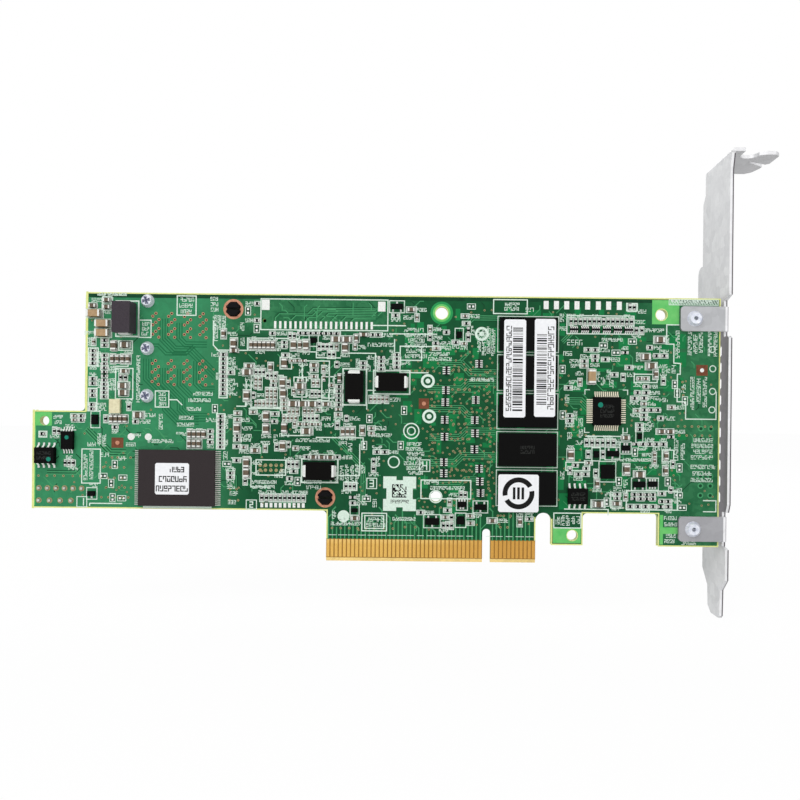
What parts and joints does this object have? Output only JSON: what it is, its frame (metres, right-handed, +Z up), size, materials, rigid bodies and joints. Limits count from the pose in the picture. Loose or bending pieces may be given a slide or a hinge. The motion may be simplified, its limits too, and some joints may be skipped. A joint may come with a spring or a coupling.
{
  "type": "raid controller card",
  "caption": "Low-profile storage controller card with an edge connector, heatsink, internal cable ports and a full-height vented slot bracket.",
  "frame": {"origin": "middle of the edge connector's key notch, at the lower edge of the contact tongue and in the middle of the board's thickness", "axes": "+Z up away from the edge contacts, +X along the board towards the slot bracket, +Y from the solder side to the component side"},
  "size_m": [0.1807, 0.0228, 0.1136],
  "materials": {
    "solder_mask": "satin green solder mask over copper",
    "gold_contact": "gold plating",
    "steel": "zinc-plated steel, satin",
    "tinned_metal": "tinned, satin",
    "black_moulding": "fine matt epoxy moulding",
    "port_plastic": "matt black plastic",
    "port_shell": "nickel-plated sheet",
    "substrate": "green laminate",
    "sink_black": "black anodised",
    "pin_plastic": "pale plastic",
    "thermal_pad": "soft grey pad",
    "capacitor_case": "dark resin",
    "ceramic_brown": "fired ceramic",
    "resistor_black": "glazed black",
    "label_paper": "matt paper",
    "header_plastic": "matt plastic",
    "crystal_can": "brushed lid"
  },
  "bodies": {
    "root": {"barcode_label_left": "label_paper", "barcode_label_right": "label_paper", "battery_header": "header_plastic", "bracket": "steel", "bracket_rivets": "steel", "capacitor_ends": "tinned_metal", "capacitors_0402": "ceramic_brown", "capacitors_0603": "ceramic_brown", "capacitors_0805": "ceramic_brown", "capacitors_1206": "ceramic_brown", "circuit_board": "solder_mask", "controller_balls": "tinned_metal", "controller_lid": "tinned_metal", "controller_substrate": "substrate", "crystal": "crystal_can", "edge_contacts_back": "gold_contact", "edge_contacts_front": "gold_contact", "eight_lead_chip_left": "black_moulding", "eight_lead_chip_right": "black_moulding", "eight_lead_pins_left": "tinned_metal", "eight_lead_pins_right": "tinned_metal", "flash_chip": "black_moulding", "flash_label": "label_paper", "flash_leads": "tinned_metal", "front_capacitors": "capacitor_case", "header_pins": "gold_contact", "heatsink": "sink_black", "logic_chip": "black_moulding", "logic_leads": "tinned_metal", "memory_back_1": "black_moulding", "memory_back_2": "black_moulding", "memory_back_3": "black_moulding", "memory_back_4": "black_moulding", "memory_back_5": "black_moulding", "memory_front": "black_moulding", "module_connector": "port_plastic", "pin_springs": "steel", "polymer_capacitor_1": "capacitor_case", "polymer_capacitor_2": "capacitor_case", "polymer_capacitor_3": "capacitor_case", "port_carrier_1": "port_plastic", "port_carrier_2": "port_plastic", "port_contacts_1": "gold_contact", "port_contacts_2": "gold_contact", "port_housing": "port_plastic", "port_screws": "steel", "port_shell": "port_shell", "power_inductors": "resistor_black", "push_pin_1": "pin_plastic", "push_pin_2": "pin_plastic", "resistor_arrays": "resistor_black", "resistors_0402": "resistor_black", "ring_label": "label_paper", "signal_header": "header_plastic", "slim_chip": "black_moulding", "slim_chip_pins": "tinned_metal", "small_chip_leads": "tinned_metal", "small_chips": "black_moulding", "tall_capacitor": "capacitor_case", "thermal_pad": "thermal_pad"}
  },
  "joints": []
}
